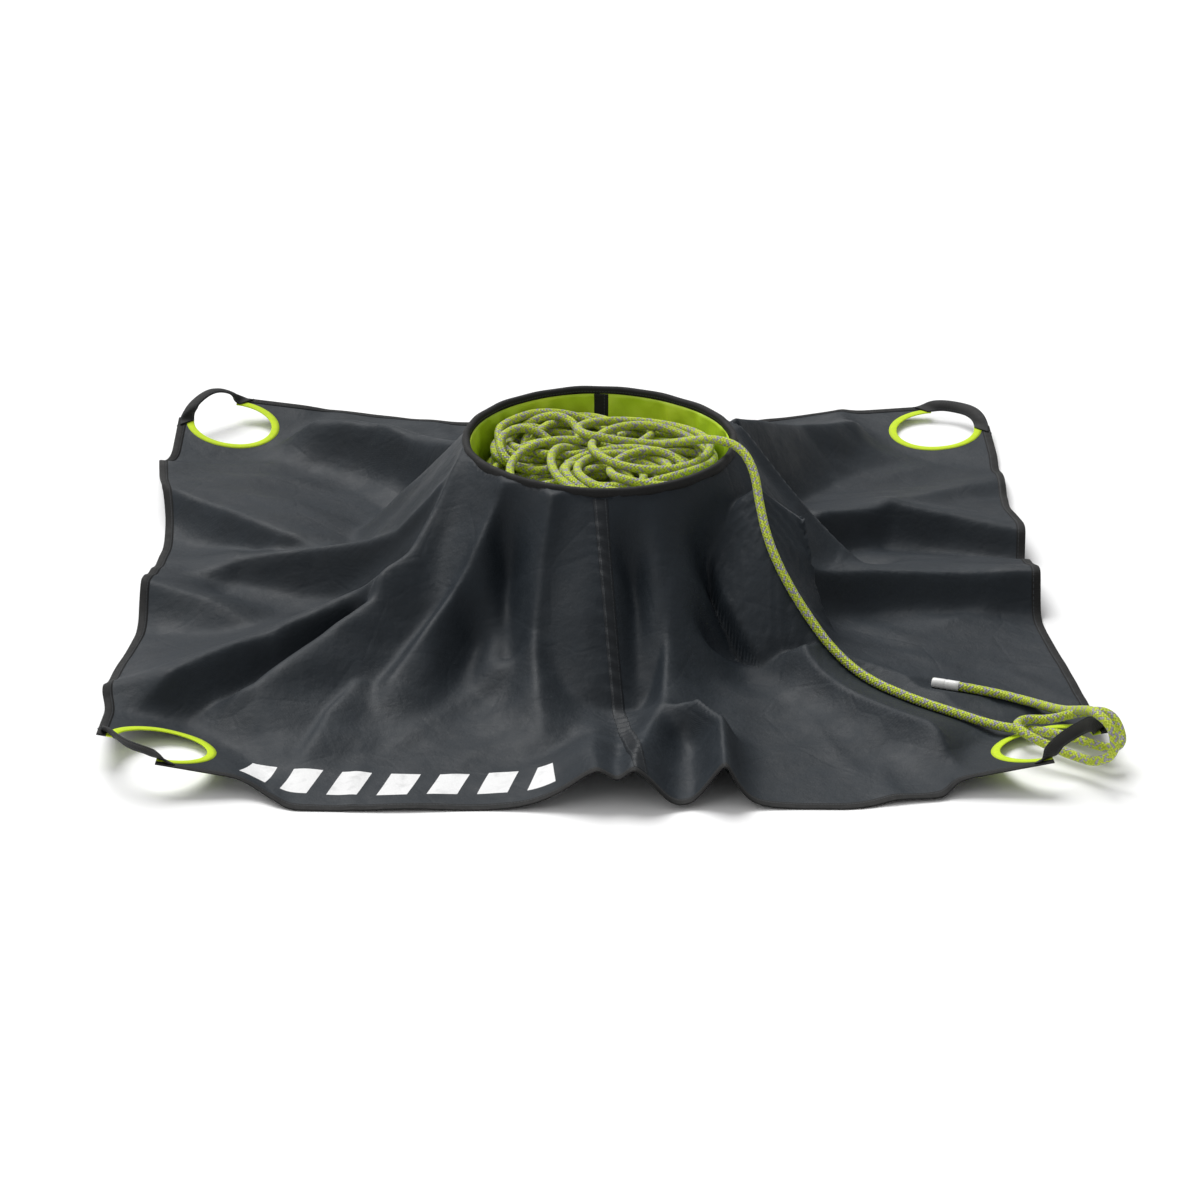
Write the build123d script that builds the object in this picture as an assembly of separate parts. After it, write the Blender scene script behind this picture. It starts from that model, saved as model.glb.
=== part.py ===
from build123d import *
import os
from math import atan2, cos, degrees, pi, radians, sin, tan

# Rope storage bag: a round open bag whose mouth is joined to the middle of a square ground
# sheet. Millimetres. Origin: centre of the bag's base, on the floor. +Z up, -Y the front.

os.makedirs("parts", exist_ok=True)

# Bag and mouth
MOUTH_R = 180.0          # hoop centreline radius
MOUTH_H = 220.0          # top of the mouth binding
MOUTH_BAND_W = 15.0      # mouth binding, across
MOUTH_BAND_H = 11.5      # mouth binding, up and down
HOOP_D = 4.0             # spring hoop wire
SLEEVE_D = 6.5           # sleeve on the hoop's joint
SLEEVE_L = 42.0
HOOP_GAP = 0.15          # round the wire, in its sleeve and in the binding
WALL_T = 1.6
WALL_INSET = 3.4         # wall's outside, inside the hoop's centreline
BASE_T = 2.5
BASE_BAND = 14.0         # tape over the seam of wall and base, each way
BAND_T = 1.2             # any sewn-on tape
WALL_TAPE_W = 22.0

# Ground sheet
SHEET_T = 3.0
SKIRT_FOOT_R = 380.0     # where the skirt meets the floor
SHEET_CORNERS = {
    "front_left": (-623.0, -612.0),
    "front_right": (635.0, -605.0),
    "back_right": (578.0, 611.0),
    "back_left": (-628.0, 608.0),
}
HEM_W = 12.0
HEM_LIP = 1.5            # binding that stands past the cloth's raw edge
SEAM_TAPE_W = 20.0

# Corner handles
CORNER_R = 80.0          # outside of the rounded corner
STRAP_W = 22.0
STRAP_T = 2.4
STRAP_GAP = 1.0          # between a strap's root and the sheet, for the turn
CUT_BAND_W = 10.0        # lime binding round the cut-out
FLAP_L = 205.0           # from the corner in to the line where it lifts off the floor
FLAP_LIFT = {"front_left": 15.0, "front_right": 15.0, "back_right": 5.0, "back_left": 11.0}
STRAP_TILT = {"front_left": 18.0, "front_right": 50.0, "back_right": 8.0, "back_left": 42.0}

# Rope
ROPE_D = 11.8
HEAP_GAP = 5.0           # between the heap and the wall
HEAP_EDGE_H = 178.0      # heap's height at the wall
HEAP_TOP_H = 204.0       # and in its middle
END_SLEEVE_L = 36.0
END_SLEEVE_T = 0.6
BEND_SHARE = 0.45        # of the shorter run, taken up by an arc
# The tail's route, from the heap to the tip
TAIL_ROUTE = [
    (96.0, 8.0, 206.0), (122.0, -22.0, 222.0), (150.0, -48.0, 236.0), (185.0, -74.0, 236.0),
    (203.0, -104.0, 214.0), (209.0, -140.0, 180.0), (219.0, -180.0, 146.0),
    (240.0, -214.0, 108.0), (268.0, -243.0, 70.0), (300.0, -275.0, 35.0),
    (340.0, -318.0, 15.0), (397.0, -372.0, 12.0), (452.0, -414.0, 12.0),
    (498.0, -456.0, 15.0), (541.0, -486.0, 25.0), (577.0, -514.0, 33.0),
    (606.0, -537.0, 32.0), (632.0, -549.0, 31.0), (645.0, -532.0, 37.0),
    (631.0, -508.0, 63.0), (596.0, -495.0, 56.0), (558.0, -481.0, 37.0),
    (528.0, -475.0, 36.0), (514.0, -494.0, 36.0), (527.0, -520.0, 36.0),
    (556.0, -537.0, 28.0), (583.0, -554.0, 24.0), (606.0, -575.0, 26.0),
    (627.0, -590.0, 46.0), (623.0, -580.0, 78.0), (603.0, -552.0, 86.0),
    (594.0, -503.0, 62.0), (578.0, -447.0, 33.0), (548.0, -388.0, 15.0),
    (492.0, -347.0, 12.0), (427.0, -324.0, 12.0),
]


def ring(inner, outer, low, high):
    """A flat-faced ring about Z."""
    height = high - low
    tube = Cylinder(outer, height) - Cylinder(inner, height)
    return Pos(0, 0, (low + high) / 2) * tube


def bag_parts():
    """The bag's base, wall and tapes, and its mouth."""
    wall_out = MOUTH_R - WALL_INSET
    wall_in = wall_out - WALL_T
    wall_top = MOUTH_H - MOUTH_BAND_H
    base = Pos(0, 0, BASE_T / 2) * Cylinder(wall_out, BASE_T)
    wall = ring(wall_in, wall_out, BASE_T, wall_top)
    tape_r = wall_in - BAND_T
    band_low = ring(wall_in - BASE_BAND, wall_in, BASE_T, BASE_T + BAND_T)
    band_up = ring(tape_r, wall_in, BASE_T + BAND_T, BASE_T + BASE_BAND)
    strip_h = wall_top - BASE_T - BASE_BAND
    strip_z = (wall_top + BASE_T + BASE_BAND) / 2
    strip = Pos(0, wall_in, strip_z) * Box(WALL_TAPE_W, WALL_INSET * 8, strip_h)
    tape = strip & ring(tape_r, wall_in, BASE_T + BASE_BAND, wall_top)
    hoop_z = MOUTH_H - MOUTH_BAND_H / 2
    hoop = Pos(0, 0, hoop_z) * Torus(MOUTH_R, HOOP_D / 2)
    bore = HOOP_D / 2 + HOOP_GAP
    ferrule = Torus(MOUTH_R, SLEEVE_D / 2) - Torus(MOUTH_R, bore)
    ferrule = ferrule & (Pos(0, MOUTH_R, 0) * Box(SLEEVE_L, MOUTH_R, SLEEVE_D * 2))
    slot = SLEEVE_D / 2 + HOOP_GAP
    band = ring(MOUTH_R - MOUTH_BAND_W / 2, MOUTH_R + MOUTH_BAND_W / 2, wall_top, MOUTH_H)
    band -= ring(MOUTH_R - slot, MOUTH_R + slot, wall_top, hoop_z)
    band -= Pos(0, 0, hoop_z) * Torus(MOUTH_R, slot)
    return {
        "bag_base": base,
        "bag_wall": wall,
        "base_seam_binding": band_low + band_up,
        "wall_seam_tape": tape,
        "mouth_hoop": hoop,
        "hoop_sleeve": Pos(0, 0, hoop_z) * ferrule,
        "mouth_binding": band,
    }


def corner_frames():
    """For each corner: where its cut-out is centred, the strap's line, and the way out."""
    names = list(SHEET_CORNERS)
    frames = {}
    for i, name in enumerate(names):
        corner = Vector(*SHEET_CORNERS[name])
        ahead = (Vector(*SHEET_CORNERS[names[(i + 1) % 4]]) - corner).normalized()
        behind = (Vector(*SHEET_CORNERS[names[i - 1]]) - corner).normalized()
        angle = radians(ahead.get_angle(behind))
        centre = corner + (ahead + behind) * (CORNER_R / sin(angle))
        out = (corner - centre).normalized()
        along = Vector(-out.Y, out.X)
        hole_r = CORNER_R - STRAP_W
        reach = hole_r * sin(angle / 2)
        frames[name] = {
            "corner": corner,
            "centre": centre,
            "out": out,
            "along": along,
            "hole_r": hole_r,
            "line": centre + out * reach,
            "half_chord": hole_r * cos(angle / 2),
            "fold": corner - out * FLAP_L,
        }
    return frames


FRAMES = corner_frames()
CUT_REACH = 2 * FLAP_L          # past a whole corner, for the blocks that divide the sheet
STRAP_LOW = SHEET_T + BAND_T    # a flat strap's underside, level with the bindings' top


def beyond(point, out, height=CUT_REACH):
    """A block that holds everything on the far side of a line across a corner."""
    turn = degrees(atan2(out.Y, out.X))
    middle = point + out * CUT_REACH
    return Pos(middle.X, middle.Y, 0) * Rot(0, 0, turn) * Box(2 * CUT_REACH, 2 * CUT_REACH, height)


def fold_axis(name):
    """The line on the floor that a corner lifts about."""
    frame = FRAMES[name]
    return Axis((frame["fold"].X, frame["fold"].Y, 0), (frame["along"].X, frame["along"].Y, 0))


def strap_axis(name):
    """The line a strap turns about, with the corner still flat."""
    frame = FRAMES[name]
    point = frame["line"]
    return Axis((point.X, point.Y, STRAP_LOW), (frame["along"].X, frame["along"].Y, 0))


def lift(shape, name):
    """The corner's own turn, up off the floor."""
    return shape.rotate(fold_axis(name), -FLAP_LIFT[name])


def lift_corners(shape, names=None):
    """Folds each corner of a flat-made shape up about its own line."""
    for name in names or FRAMES:
        block = beyond(FRAMES[name]["fold"], FRAMES[name]["out"])
        shape = (shape - block) + lift(shape & block, name)
    return shape


def outline(inset=0.0):
    """The sheet's rounded outline, as a face on the floor."""
    points = [FRAMES[name]["corner"] for name in FRAMES]
    face = make_face(Polyline(*points, close=True))
    face = fillet(face.vertices(), CORNER_R)
    if inset:
        face = offset(face, -inset)
    return face


def plate(face, low, high):
    """A face on the floor made into a slab between two heights."""
    return Pos(0, 0, low) * extrude(face, high - low)


def corner_disc(name, radius, low, high):
    """A round slab at a corner's cut-out."""
    centre = FRAMES[name]["centre"]
    return Pos(centre.X, centre.Y, (low + high) / 2) * Cylinder(radius, high - low)


def skirt(radius_in=0.0, extra=0.0):
    """The sloping part of the sheet, from the mouth to the floor; extra lies on its outside."""
    top = MOUTH_H - MOUTH_BAND_H
    band_edge = MOUTH_R + MOUTH_BAND_W / 2
    slope = atan2(top, SKIRT_FOOT_R + SHEET_T - band_edge)
    across = SHEET_T / sin(slope)
    top_r = band_edge - across
    more = extra / sin(slope)
    low_in = (SKIRT_FOOT_R + (across if extra else 0), 0, 0)
    top_in = (top_r + (across if extra else 0), 0, top)
    top_out = (top_r + across + more, 0, top)
    low_out = (SKIRT_FOOT_R + across + more, 0, 0)
    profile = make_face(Polyline(low_in, top_in, top_out, low_out, close=True))
    return revolve(profile, Axis.Z)


def sheet_parts():
    """The two panels, the seam tapes over their joins, and the hem bindings."""
    flat = plate(outline(HEM_LIP), 0, SHEET_T)
    flat -= Pos(0, 0, SHEET_T / 2) * Cylinder(SKIRT_FOOT_R, SHEET_T)
    top = SHEET_T + BAND_T
    hems = plate(outline(), 0, top) - plate(outline(HEM_W), 0, top)
    for name, frame in FRAMES.items():
        block = beyond(frame["line"], frame["out"])
        flat = flat - block - corner_disc(name, frame["hole_r"], 0, SHEET_T)
        hems = hems - block
    flat_hems = hems
    sheet = lift_corners(flat) + skirt()
    half = Pos(-CUT_REACH * 2, 0, 0) * Box(CUT_REACH * 4, CUT_REACH * 8, CUT_REACH * 4)
    parts = {"sheet_left": sheet & half, "sheet_right": sheet - half}
    ways = {"hem_front": (0, -1), "hem_back": (0, 1), "hem_left": (-1, 0), "hem_right": (1, 0)}
    for hem, way in ways.items():
        strips = [s for s in flat_hems.solids() if s.center().X * way[0] + s.center().Y * way[1] > CUT_REACH]
        side = hem.split("_")[1]
        parts[hem] = lift_corners(strips[0], [name for name in FRAMES if side in name]) - sheet
    for side, sign in (("front", -1), ("back", 1)):
        strip = Pos(0, sign * SKIRT_FOOT_R, 0) * Box(SEAM_TAPE_W, 2 * SKIRT_FOOT_R, 4 * CUT_REACH)
        cover = plate(outline(HEM_W), SHEET_T, top)
        cover -= Pos(0, 0, top / 2) * Cylinder(SKIRT_FOOT_R, top)
        cover += skirt(extra=BAND_T)
        parts["seam_tape_" + side] = (cover & strip) - sheet
    return parts, sheet, flat_hems


def corner_parts(sheet, flat_hems):
    """Each corner's lime binding round the cut-out, and its handle strap."""
    parts = {}
    for name, frame in FRAMES.items():
        hole_r = frame["hole_r"]
        top = SHEET_T + BAND_T
        band = corner_disc(name, hole_r + CUT_BAND_W, 0, top)
        band -= corner_disc(name, hole_r - HEM_LIP, 0, top)
        band = band - beyond(frame["line"], frame["out"]) - flat_hems
        parts["cutout_binding_" + name] = lift(band, name) - sheet
        strap = plate(outline(), STRAP_LOW, STRAP_LOW + STRAP_T)
        strap -= corner_disc(name, hole_r, STRAP_LOW, STRAP_LOW + STRAP_T)
        strap &= beyond(frame["line"] + frame["out"] * STRAP_GAP, frame["out"])
        strap = strap.rotate(strap_axis(name), -STRAP_TILT[name])
        parts["handle_strap_" + name] = lift(strap, name)
    return parts


def rounded_path(points):
    """Straight runs joined by arcs as large as their runs allow; prints each radius."""
    runs = [(Vector(*b) - Vector(*a)).length for a, b in zip(points, points[1:])]
    radii = []
    for i in range(1, len(points) - 1):
        before = Vector(*points[i]) - Vector(*points[i - 1])
        after = Vector(*points[i + 1]) - Vector(*points[i])
        turn = radians(before.get_angle(after))
        radii.append(BEND_SHARE * min(runs[i - 1], runs[i]) / tan(turn / 2))
        print(i, "run", round(runs[i - 1]), "turn", round(degrees(turn)), "radius", round(radii[-1]))
    return FilletPolyline(*points, radius=radii)


def rope_parts():
    """The heap in the bag, the tail over the mouth and the sleeve on its tip."""
    heap_r = MOUTH_R - WALL_INSET - WALL_T - HEAP_GAP - BAND_T
    foot = BASE_T + BAND_T + HEAP_GAP / 10
    shoulder = BASE_T + BASE_BAND + HEAP_GAP / 10
    crown = HEAP_TOP_H - HEAP_EDGE_H
    ball_r = (heap_r ** 2 + crown ** 2) / (2 * crown)
    heap = Pos(0, 0, (shoulder + HEAP_TOP_H) / 2) * Cylinder(heap_r, HEAP_TOP_H - shoulder)
    heap &= Pos(0, 0, HEAP_TOP_H - ball_r) * Sphere(ball_r)
    heap += Pos(0, 0, (foot + shoulder) / 2) * Cylinder(heap_r - BASE_BAND, shoulder - foot)
    path = rounded_path(TAIL_ROUTE)
    tail = sweep(Plane(path @ 0, z_dir=path % 0) * Circle(ROPE_D / 2), path)
    section = pi * ROPE_D ** 2 / 4
    print("tail length", round(path.length), "volume share", round(tail.volume / section / path.length, 4))
    tip, before = Vector(*TAIL_ROUTE[-1]), Vector(*TAIL_ROUTE[-2])
    tip_plane = Plane(tip, z_dir=(before - tip))
    sleeve_r = ROPE_D / 2 + END_SLEEVE_T
    sleeve = Cylinder(sleeve_r, END_SLEEVE_L + END_SLEEVE_T) - Pos(0, 0, END_SLEEVE_T / 2) * Cylinder(
        ROPE_D / 2, END_SLEEVE_L
    )
    sleeve = tip_plane * Pos(0, 0, END_SLEEVE_L / 2 - END_SLEEVE_T / 2) * sleeve
    return {"rope_heap": heap, "rope_tail": tail, "rope_end_sleeve": sleeve}


def main():
    parts = bag_parts()
    panels, sheet, flat_hems = sheet_parts()
    parts.update(panels)
    parts.update(corner_parts(sheet, flat_hems))
    parts.update(rope_parts())
    for name, shape in parts.items():
        export_step(shape, "parts/" + name + ".step")
    for name, frame in FRAMES.items():
        ends = []
        for sign in (-1, 1):
            point = frame["line"] + frame["along"] * (sign * frame["half_chord"])
            at = Vertex(point.X, point.Y, STRAP_LOW).rotate(fold_axis(name), -FLAP_LIFT[name])
            ends.append(tuple(round(value, 2) for value in at.center()))
        print("strap line", name, ends)


main()
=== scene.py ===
from math import cos, pi, radians, sin, sqrt

import bpy
import bmesh
import numpy as np
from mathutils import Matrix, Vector


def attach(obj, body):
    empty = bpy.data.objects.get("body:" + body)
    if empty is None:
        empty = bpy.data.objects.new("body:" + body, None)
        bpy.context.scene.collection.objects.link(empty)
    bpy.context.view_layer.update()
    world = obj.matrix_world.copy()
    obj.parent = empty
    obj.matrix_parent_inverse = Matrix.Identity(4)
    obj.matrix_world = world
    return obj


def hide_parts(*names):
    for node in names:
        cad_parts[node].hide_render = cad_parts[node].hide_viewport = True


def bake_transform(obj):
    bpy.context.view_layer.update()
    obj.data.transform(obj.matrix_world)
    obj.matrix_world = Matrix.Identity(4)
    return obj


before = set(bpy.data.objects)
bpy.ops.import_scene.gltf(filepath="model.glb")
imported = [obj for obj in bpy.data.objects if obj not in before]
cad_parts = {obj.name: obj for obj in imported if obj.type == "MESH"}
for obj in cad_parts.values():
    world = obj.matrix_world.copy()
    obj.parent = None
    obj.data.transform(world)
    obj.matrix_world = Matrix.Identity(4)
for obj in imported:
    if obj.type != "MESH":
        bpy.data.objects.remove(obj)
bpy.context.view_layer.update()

# ---- sizes, in metres
MOUTH_R = 0.180
WALL_R = 0.1745          # inside face of the bag's wall
ROPE_D = 0.0118
HALF = 0.725             # half of the ground sheet's flat side
HOLE_R = 0.183           # round hole cut for the mouth
CLOTH_T = 0.0008
FLOOR_GAP = 0.0012       # cloth's middle above the floor
CORNER_R = 0.080
STRAP_W = 0.022
CUTOUT_R = CORNER_R - STRAP_W
FLAP_L = 0.205
SHEET_T = 0.003          # height of the corner flaps' top face over their fold
HEM_W = 0.012
SEAM_W = 0.020
CUTOUT_TAPE_W = 0.011
TAPE_T = 0.0009
LINING_T = 0.0009
# Each corner: where its hem lines meet in plan, and how far its flap lifts, in degrees
CORNERS = {
    "front_left": (-0.623, -0.612, 15.0),
    "front_right": (0.635, -0.605, 15.0),
    "back_right": (0.578, 0.611, 5.0),
    "back_left": (-0.628, 0.608, 11.0),
}
STRAP_TILT = {"front_left": 18.0, "front_right": 50.0, "back_right": 8.0, "back_left": 42.0}
WAY = {"front_left": (-1, -1), "front_right": (1, -1), "back_right": (1, 1), "back_left": (-1, 1)}

# The tail's route, from the heap to the tip
TAIL_ROUTE = [
    (0.096, 0.008, 0.206), (0.122, -0.022, 0.222), (0.150, -0.048, 0.236),
    (0.185, -0.074, 0.236), (0.203, -0.104, 0.214), (0.209, -0.140, 0.180),
    (0.219, -0.180, 0.146), (0.240, -0.214, 0.108), (0.268, -0.243, 0.070),
    (0.300, -0.275, 0.035), (0.340, -0.318, 0.015), (0.397, -0.372, 0.012),
    (0.452, -0.414, 0.012), (0.498, -0.456, 0.015), (0.541, -0.486, 0.025),
    (0.577, -0.514, 0.033), (0.606, -0.537, 0.032), (0.632, -0.549, 0.031),
    (0.645, -0.532, 0.037), (0.631, -0.508, 0.063), (0.596, -0.495, 0.056),
    (0.558, -0.481, 0.037), (0.528, -0.475, 0.036), (0.514, -0.494, 0.036),
    (0.527, -0.520, 0.036), (0.556, -0.537, 0.028), (0.583, -0.554, 0.024),
    (0.606, -0.575, 0.026), (0.627, -0.590, 0.046), (0.623, -0.580, 0.078),
    (0.603, -0.552, 0.086), (0.594, -0.503, 0.062), (0.578, -0.447, 0.033),
    (0.548, -0.388, 0.015), (0.492, -0.347, 0.012), (0.427, -0.324, 0.012),
]


# ---- camera
ELEVATION = radians(25.0)
DISTANCE = 5.10
LENS = 112.2             # millimetres, on a sensor 36 wide
AIM_DOWN = 0.0205        # the aim, below the floor's centre across the view


def make_camera():
    """A long lens, 25 degrees up, straight in front."""
    aim = Vector((0, -AIM_DOWN * sin(ELEVATION), -AIM_DOWN * cos(ELEVATION)))
    data = bpy.data.cameras.new("camera")
    data.lens = LENS
    data.sensor_width = 36.0
    data.clip_end = 50.0
    camera = bpy.data.objects.new("camera", data)
    bpy.context.scene.collection.objects.link(camera)
    camera.location = aim + DISTANCE * Vector((0, -cos(ELEVATION), sin(ELEVATION)))
    camera.rotation_euler = (aim - camera.location).to_track_quat("-Z", "Y").to_euler()
    bpy.context.scene.camera = camera


make_camera()


# ---- shader helpers
def math_node(op, swapped=False):
    """A method that adds one Math node on its number and another; swapped is for the reflected forms."""
    def method(self, other=0.0):
        pair = (other, self) if swapped else (self, other)
        return self.shade.node("ShaderNodeMath", {"operation": op}, dict(enumerate(pair)))
    return method


class Num:
    """A number socket that adds Math nodes when it is used in a sum."""

    def __init__(self, shade, socket):
        self.shade = shade
        self.socket = socket

    __add__ = math_node("ADD")
    __radd__ = math_node("ADD", True)
    __sub__ = math_node("SUBTRACT")
    __rsub__ = math_node("SUBTRACT", True)
    __mul__ = math_node("MULTIPLY")
    __rmul__ = math_node("MULTIPLY", True)
    __gt__ = math_node("GREATER_THAN")
    __lt__ = math_node("LESS_THAN")
    __mod__ = math_node("FLOORED_MODULO")
    sine = math_node("SINE")
    floor = math_node("FLOOR")
    power = math_node("POWER")
    size = math_node("ABSOLUTE")
    most = math_node("MAXIMUM")


class Shade:
    """One material: a Principled shader, and every other node from one method."""

    def __init__(self, name, **values):
        self.material = bpy.data.materials.new(name)
        self.material.use_nodes = True
        self.tree = self.material.node_tree
        self.main = self.tree.nodes["Principled BSDF"]
        for key, value in values.items():
            self.main.inputs[key.replace("_", " ")].default_value = value

    def node(self, kind, settings=None, inputs=None, output=0):
        made = self.tree.nodes.new(kind)
        for key, value in (settings or {}).items():
            if key == "stops":
                ramp = made.color_ramp
                while len(ramp.elements) < len(value):
                    ramp.elements.new(1.0)
                for element, (place, colour) in zip(ramp.elements, value):
                    element.position = place
                    element.color = colour
            else:
                setattr(made, key, value)
        for key, value in (inputs or {}).items():
            socket = made.inputs[key]
            if isinstance(value, Num):
                self.tree.links.new(value.socket, socket)
            else:
                socket.default_value = value
        return Num(self, made.outputs[output])

    def place(self):
        return self.node("ShaderNodeTexCoord", output="Object")

    def cut(self):
        """The piece's own map: metres along and across the cloth or cord."""
        return self.node("ShaderNodeUVMap", {"uv_map": "cut"})

    def parts(self, vector):
        split = self.node("ShaderNodeSeparateXYZ", inputs={0: vector})
        outs = split.socket.node.outputs
        return Num(self, outs[0]), Num(self, outs[1]), Num(self, outs[2])

    def noise(self, where, scale, detail=2.0, rough=0.5):
        return self.node("ShaderNodeTexNoise", None,
                         {"Vector": where, "Scale": scale, "Detail": detail, "Roughness": rough})

    def mix(self, factor, a, b):
        return self.node("ShaderNodeMix", {"data_type": "RGBA"}, {0: factor, 6: a, 7: b}, 2)

    def ramp(self, value, *stops):
        return self.node("ShaderNodeValToRGB", {"stops": stops}, {0: value})

    def spread(self, value, low, high, to_low, to_high):
        return self.node("ShaderNodeMapRange", None,
                         {0: value, 1: low, 2: high, 3: to_low, 4: to_high})

    def to(self, name, value):
        self.tree.links.new(value.socket, self.main.inputs[name])

    def bump(self, height, strength, distance):
        self.to("Normal", self.node("ShaderNodeBump", None,
                                    {"Height": height, "Strength": strength, "Distance": distance}))


def grey(level, tint=(1.0, 1.0, 1.0)):
    return tuple(level * c for c in tint) + (1.0,)


def weave(shade, across, along, count):
    """A plain weave: the warp and the weft take turns on top; count is threads a metre."""
    a = (across * (pi * count)).sine()
    b = (along * (pi * count)).sine()
    return a * b


# The plain printed mark on the front left field: slanted bars of one size, in cut metres
MARK_STEP = 0.066
MARK_BAR = 0.040
MARK_LOW = -0.690
MARK_HIGH = -0.640
MARK_LEFT = -0.545
MARK_RIGHT = -0.110


def ground_cloth(mark):
    """Coated woven cloth: slate, with a soft shine, crush marks and creases, and the bars where marked."""
    shade = Shade("ground_cloth_marked" if mark else "ground_cloth", Specular_IOR_Level=0.26)
    u, v, _ = shade.parts(shade.cut())
    where = shade.place()
    broad = shade.noise(where, 3.5, 4.0, 0.6)
    fine = shade.noise(where, 26.0, 5.0, 0.65)
    speck = shade.noise(where, 900.0, 2.0)
    tone = broad * 0.5 + fine * 0.5
    colour = shade.ramp(tone, (0.32, (0.007, 0.0108, 0.0150, 1)), (0.5, (0.0105, 0.0155, 0.0210, 1)),
                        (0.68, (0.0155, 0.0220, 0.0290, 1)))
    threads = weave(shade, u, v, 900.0)
    shine = shade.spread(threads + speck * 0.6, -0.8, 1.2, 0.0, 0.35)
    colour = shade.mix(shine, colour, grey(0.026, (0.82, 1, 1.2)))
    if mark:
        slant = u - v * 0.35
        step = (slant + 0.5) % MARK_STEP
        inside = (step < MARK_BAR) * (v > MARK_LOW) * (v < MARK_HIGH)
        inside = inside * (u > MARK_LEFT) * (u < MARK_RIGHT)
        worn = shade.spread(shade.noise(where, 60.0, 4.0), 0.25, 0.45, 0.82, 1.0)
        colour = shade.mix(inside * worn, colour, grey(0.78))
    shade.to("Base Color", colour)
    shade.to("Roughness", shade.spread(fine, 0.3, 0.7, 0.50, 0.66))
    crush = shade.noise(where, 38.0, 6.0, 0.62)
    crease = shade.node("ShaderNodeTexVoronoi", {"feature": "DISTANCE_TO_EDGE"},
                        {"Vector": where, "Scale": 9.0, "Randomness": 1.0})
    lines = shade.spread(crease, 0.0, 0.035, 0.0, 1.0)
    shade.bump(crush * 1.0 + lines * 0.10 + threads * 0.035, 0.55, 0.0035)
    return shade.material


def tape(name, dark, light, rows=(), ribs=700.0, rough=0.75):
    """Woven tape: fine ribs across it, and stitch rows at the given shares of its width."""
    shade = Shade(name, Specular_IOR_Level=0.3)
    along, across, _ = shade.parts(shade.cut())
    rib = (along * (2 * pi * ribs)).sine()
    fleck = shade.noise(shade.place(), 140.0, 4.0)
    colour = shade.mix(shade.spread(rib * 0.5 + fleck, -0.1, 1.1, 0.0, 1.0), dark, light)
    height = rib * 0.12 + fleck * 0.5
    for row, thread in rows:
        near = shade.spread((across - row).size(), 0.0004, 0.0009, 1.0, 0.0)
        dash = ((along % 0.0042) < 0.0030) * near
        colour = shade.mix(dash, colour, thread)
        height = height + dash * 0.8 - near * 0.35
    shade.to("Base Color", colour)
    shade.to("Roughness", shade.spread(fleck, 0.3, 0.7, rough - 0.08, rough + 0.06))
    shade.bump(height, 0.5, 0.0012)
    return shade.material


def lining_cloth():
    """Lime coated lining: bright, thin, with soft creases."""
    shade = Shade("lime_lining", Roughness=0.42)
    u, v, _ = shade.parts(shade.cut())
    where = shade.place()
    broad = shade.noise(where, 9.0, 4.0)
    threads = weave(shade, u, v, 900.0)
    colour = shade.ramp(broad, (0.3, (0.40, 0.62, 0.010, 1)), (0.5, (0.50, 0.72, 0.014, 1)),
                        (0.7, (0.62, 0.80, 0.030, 1)))
    shade.to("Base Color", shade.mix(shade.spread(threads, -1, 1, 0.0, 0.18), colour, (0.72, 0.86, 0.10, 1)))
    shade.to("Roughness", shade.spread(broad, 0.3, 0.7, 0.36, 0.5))
    shade.bump(shade.noise(where, 45.0, 5.0, 0.6) + threads * 0.04, 0.5, 0.003)
    return shade.material


def rope_sheath():
    """Braided sheath: two sets of strands that cross, lime, with grey strands among them."""
    shade = Shade("rope_sheath", Roughness=0.72)
    along, around, _ = shade.parts(shade.cut())
    strands = 8.0
    lead = 0.036
    one = around * strands + along * (strands / lead)
    two = around * strands - along * (strands / lead)
    ca = (one % 1.0 - 0.5).size()
    cb = (two % 1.0 - 0.5).size()
    over = ((one.floor() + two.floor()) % 2.0) > 0.5
    crown_a = 1.0 - (ca * 2.0).power(2.0)
    crown_b = 1.0 - (cb * 2.0).power(2.0)
    height = crown_a * over + crown_b * (1.0 - over)
    key_a = (one.floor() % 8.0)
    key_b = (two.floor() % 8.0)
    grey_a = ((key_a > 1.5) * (key_a < 2.5)).most((key_a > 4.5) * (key_a < 6.5))
    grey_b = ((key_b > 3.5) * (key_b < 4.5)).most((key_b > 0.5) * (key_b < 1.5))
    is_grey = grey_a * over + grey_b * (1.0 - over)
    fuzz = shade.noise(shade.place(), 420.0, 3.0)
    lime = shade.ramp(fuzz, (0.3, (0.40, 0.52, 0.015, 1)), (0.7, (0.66, 0.76, 0.075, 1)))
    dull = shade.ramp(fuzz, (0.3, (0.26, 0.25, 0.29, 1)), (0.7, (0.46, 0.44, 0.50, 1)))
    colour = shade.mix(is_grey, lime, dull)
    # Painted shade: the braid goes dark olive where the strands dip low between their crowns
    colour = shade.mix(shade.spread(height, 0.0, 0.6, 0.55, 0.0), colour, (0.10, 0.13, 0.02, 1))
    shade.to("Base Color", colour)
    shade.bump(height + fuzz * 0.4, 0.8, 0.0012)
    return shade.material


def plain(name, colour, rough, scale=200.0, depth=0.0004, **values):
    """A hard finish with slight mottling and a fine grain, in the colour given or a little lighter."""
    shade = Shade(name, **values)
    mottle = shade.noise(shade.place(), scale, 4.0)
    light = tuple(min(1.0, c * 1.25) for c in colour[:3]) + (1.0,)
    shade.to("Base Color", shade.mix(mottle, colour, light))
    shade.to("Roughness", shade.spread(mottle, 0.3, 0.7, rough - 0.06, rough + 0.08))
    shade.bump(mottle, 0.3, depth)
    return shade.material


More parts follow.
